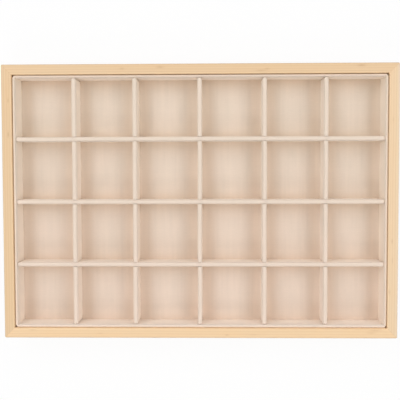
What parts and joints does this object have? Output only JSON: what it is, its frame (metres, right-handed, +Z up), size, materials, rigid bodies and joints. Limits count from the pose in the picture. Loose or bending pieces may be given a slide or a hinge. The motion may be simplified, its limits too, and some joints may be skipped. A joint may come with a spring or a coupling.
{
  "type": "jewelry display tray",
  "caption": "Shallow rectangular wooden tray with a lift-out suede-covered insert and a removable divider grid for jewellery.",
  "frame": {"origin": "centre of the underside, on the plane that the rails stand on", "axes": "+X along the tray's length, +Y towards its back, +Z up, out of the compartments"},
  "size_m": [0.35, 0.243, 0.03],
  "materials": {
    "frame_wood": "pale close-grained softwood, sanded, clear matt lacquer",
    "panel_plywood": "thin plywood, unfinished face",
    "nail_steel": "bright drawn wire",
    "insert_board": "dense grey-brown pressed board",
    "insert_suede": "short-napped beige microsuede"
  },
  "bodies": {
    "frame": {"front_rail": "frame_wood", "back_rail": "frame_wood", "left_rail": "frame_wood", "right_rail": "frame_wood", "bottom_panel": "panel_plywood", "panel_pins": "nail_steel", "corner_brads": "nail_steel"},
    "insert": {"insert_floor_board": "insert_board", "insert_floor_suede": "insert_suede", "insert_front_board": "insert_board", "insert_back_board": "insert_board", "insert_left_board": "insert_board", "insert_right_board": "insert_board", "insert_front_suede": "insert_suede", "insert_back_suede": "insert_suede", "insert_left_suede": "insert_suede", "insert_right_suede": "insert_suede"},
    "cross_dividers": {"cross_divider_1_board": "insert_board", "cross_divider_1_suede": "insert_suede", "cross_divider_2_board": "insert_board", "cross_divider_2_suede": "insert_suede", "cross_divider_3_board": "insert_board", "cross_divider_3_suede": "insert_suede", "cross_divider_4_board": "insert_board", "cross_divider_4_suede": "insert_suede", "cross_divider_5_board": "insert_board", "cross_divider_5_suede": "insert_suede"},
    "long_divider_1": {"long_divider_1_board": "insert_board", "long_divider_1_suede": "insert_suede"},
    "long_divider_2": {"long_divider_2_board": "insert_board", "long_divider_2_suede": "insert_suede"},
    "long_divider_3": {"long_divider_3_board": "insert_board", "long_divider_3_suede": "insert_suede"}
  },
  "joints": [
    {"name": "insert_lift", "type": "slide", "parent": "frame", "child": "insert", "axis": [0, 0, 1], "range_m": [0, 0.04]},
    {"name": "grid_lift", "type": "slide", "parent": "insert", "child": "cross_dividers", "axis": [0, 0, 1], "range_m": [0, 0.035]},
    {"name": "long_divider_1_lift", "type": "slide", "parent": "cross_dividers", "child": "long_divider_1", "axis": [0, 0, 1], "range_m": [0, 0.03]},
    {"name": "long_divider_2_lift", "type": "slide", "parent": "cross_dividers", "child": "long_divider_2", "axis": [0, 0, 1], "range_m": [0, 0.03]},
    {"name": "long_divider_3_lift", "type": "slide", "parent": "cross_dividers", "child": "long_divider_3", "axis": [0, 0, 1], "range_m": [0, 0.03]}
  ]
}
